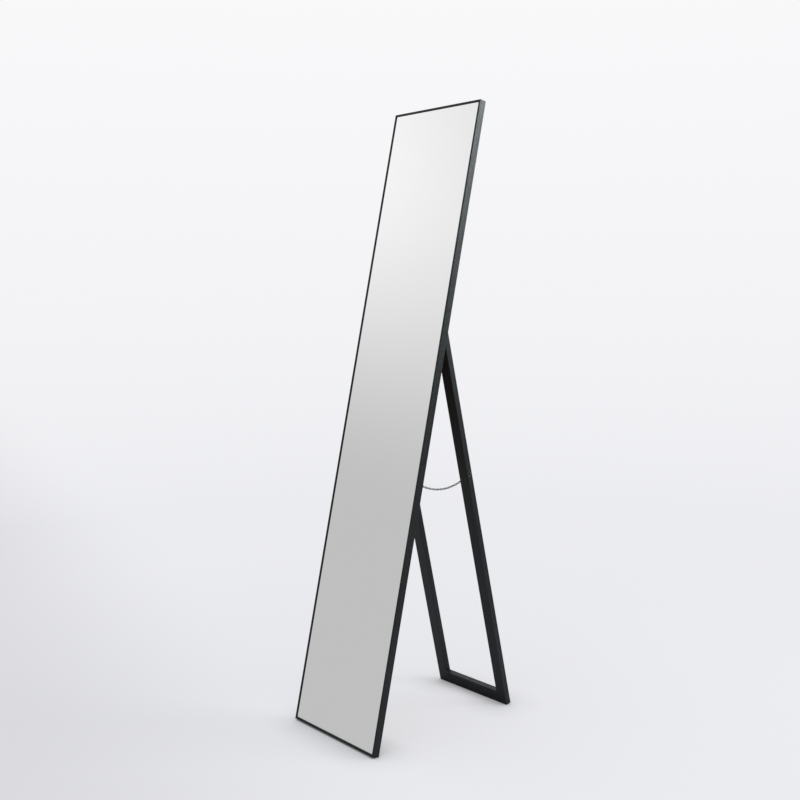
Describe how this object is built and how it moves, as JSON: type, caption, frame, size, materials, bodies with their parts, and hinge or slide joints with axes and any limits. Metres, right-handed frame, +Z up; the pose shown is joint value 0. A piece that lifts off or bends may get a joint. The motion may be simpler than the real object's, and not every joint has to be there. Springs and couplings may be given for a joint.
{
  "type": "leaning floor mirror",
  "caption": "Tall narrow mirror in a thin black wooden frame that leans back against a hinged folding stand, with a slack link chain between frame and stand.",
  "frame": {"origin": "on the floor, under the middle of the whole outline, halfway between the front of the frame's foot and the back of the stand's foot", "axes": "+Z up, +X across the mirror to its right side as seen from behind the glass's front with the viewer facing +Y, +Y from the mirror's front towards its stand"},
  "size_m": [0.3, 0.467, 1.4669],
  "materials": {
    "black_wood": "satin black stain, fine grain",
    "mirror": "silvered",
    "foam_tape": "foam",
    "fibre_board": "smooth fibre board",
    "beech": "plain",
    "black_steel": "satin black",
    "hinge_steel": "satin black",
    "plain_steel": "plain"
  },
  "bodies": {
    "mirror_frame": {"frame_top_rail": "black_wood", "frame_bottom_rail": "black_wood", "frame_left_stile": "black_wood", "frame_right_stile": "black_wood", "frame_corner_fasteners": "plain_steel", "mirror_glass": "mirror", "glass_tape_strips": "foam_tape", "backing_board": "fibre_board", "hinge_rail": "black_wood", "hinge_rail_dowels": "beech", "left_hinge_frame_leaf": "hinge_steel", "right_hinge_frame_leaf": "hinge_steel", "left_hinge_pin": "hinge_steel", "right_hinge_pin": "hinge_steel", "frame_hinge_screws": "hinge_steel", "frame_chain_screw": "black_steel"},
    "stand": {"stand_left_leg": "black_wood", "stand_right_leg": "black_wood", "stand_foot_rail": "black_wood", "stand_top_rail": "black_wood", "stand_corner_fasteners": "plain_steel", "left_hinge_stand_leaf": "hinge_steel", "right_hinge_stand_leaf": "hinge_steel", "stand_hinge_screws": "hinge_steel", "stand_chain_screw": "black_steel"},
    "chain_frame_end": {"frame_chain_ring": "black_steel", "chain_frame_end_links": "black_steel"},
    "chain_frame_middle": {"chain_frame_middle_links": "black_steel"},
    "chain_stand_end": {"stand_chain_ring": "black_steel", "chain_stand_end_links": "black_steel"},
    "chain_stand_middle": {"chain_stand_middle_links": "black_steel"}
  },
  "joints": [
    {"name": "stand_fold", "type": "hinge", "parent": "mirror_frame", "child": "stand", "pos_m": [0, 0.00146, 0.95045], "axis": [1, 0, 0], "range_deg": [-25.5, 1.7], "deforming": ["chain_stand_middle_links"]},
    {"name": "chain_frame_end_swing", "type": "hinge", "parent": "mirror_frame", "child": "chain_frame_end", "pos_m": [0.1253, -0.0838, 0.60218], "axis": [1, 0, 0], "range_deg": [-64.6, 4.4]},
    {"name": "chain_frame_middle_swing", "type": "hinge", "parent": "chain_frame_end", "child": "chain_frame_middle", "pos_m": [0.1253, -0.04049, 0.58187], "axis": [1, 0, 0], "range_deg": [-9.6, 0.7]},
    {"name": "chain_stand_end_swing", "type": "hinge", "parent": "stand", "child": "chain_stand_end", "pos_m": [0.1253, 0.08722, 0.60229], "axis": [1, 0, 0], "range_deg": [-6.2, 91.6]},
    {"name": "chain_stand_middle_swing", "type": "hinge", "parent": "chain_stand_end", "child": "chain_stand_middle", "pos_m": [0.1253, 0.04392, 0.58193], "axis": [1, 0, 0], "range_deg": [-0.5, 5.9]}
  ],
  "couplings": [
    {"joint": "chain_frame_end_swing", "follows": "stand_fold", "ratio": 2.5276},
    {"joint": "chain_frame_middle_swing", "follows": "stand_fold", "ratio": 0.3714},
    {"joint": "chain_stand_end_swing", "follows": "stand_fold", "ratio": -3.5892},
    {"joint": "chain_stand_middle_swing", "follows": "stand_fold", "ratio": -0.2273}
  ]
}
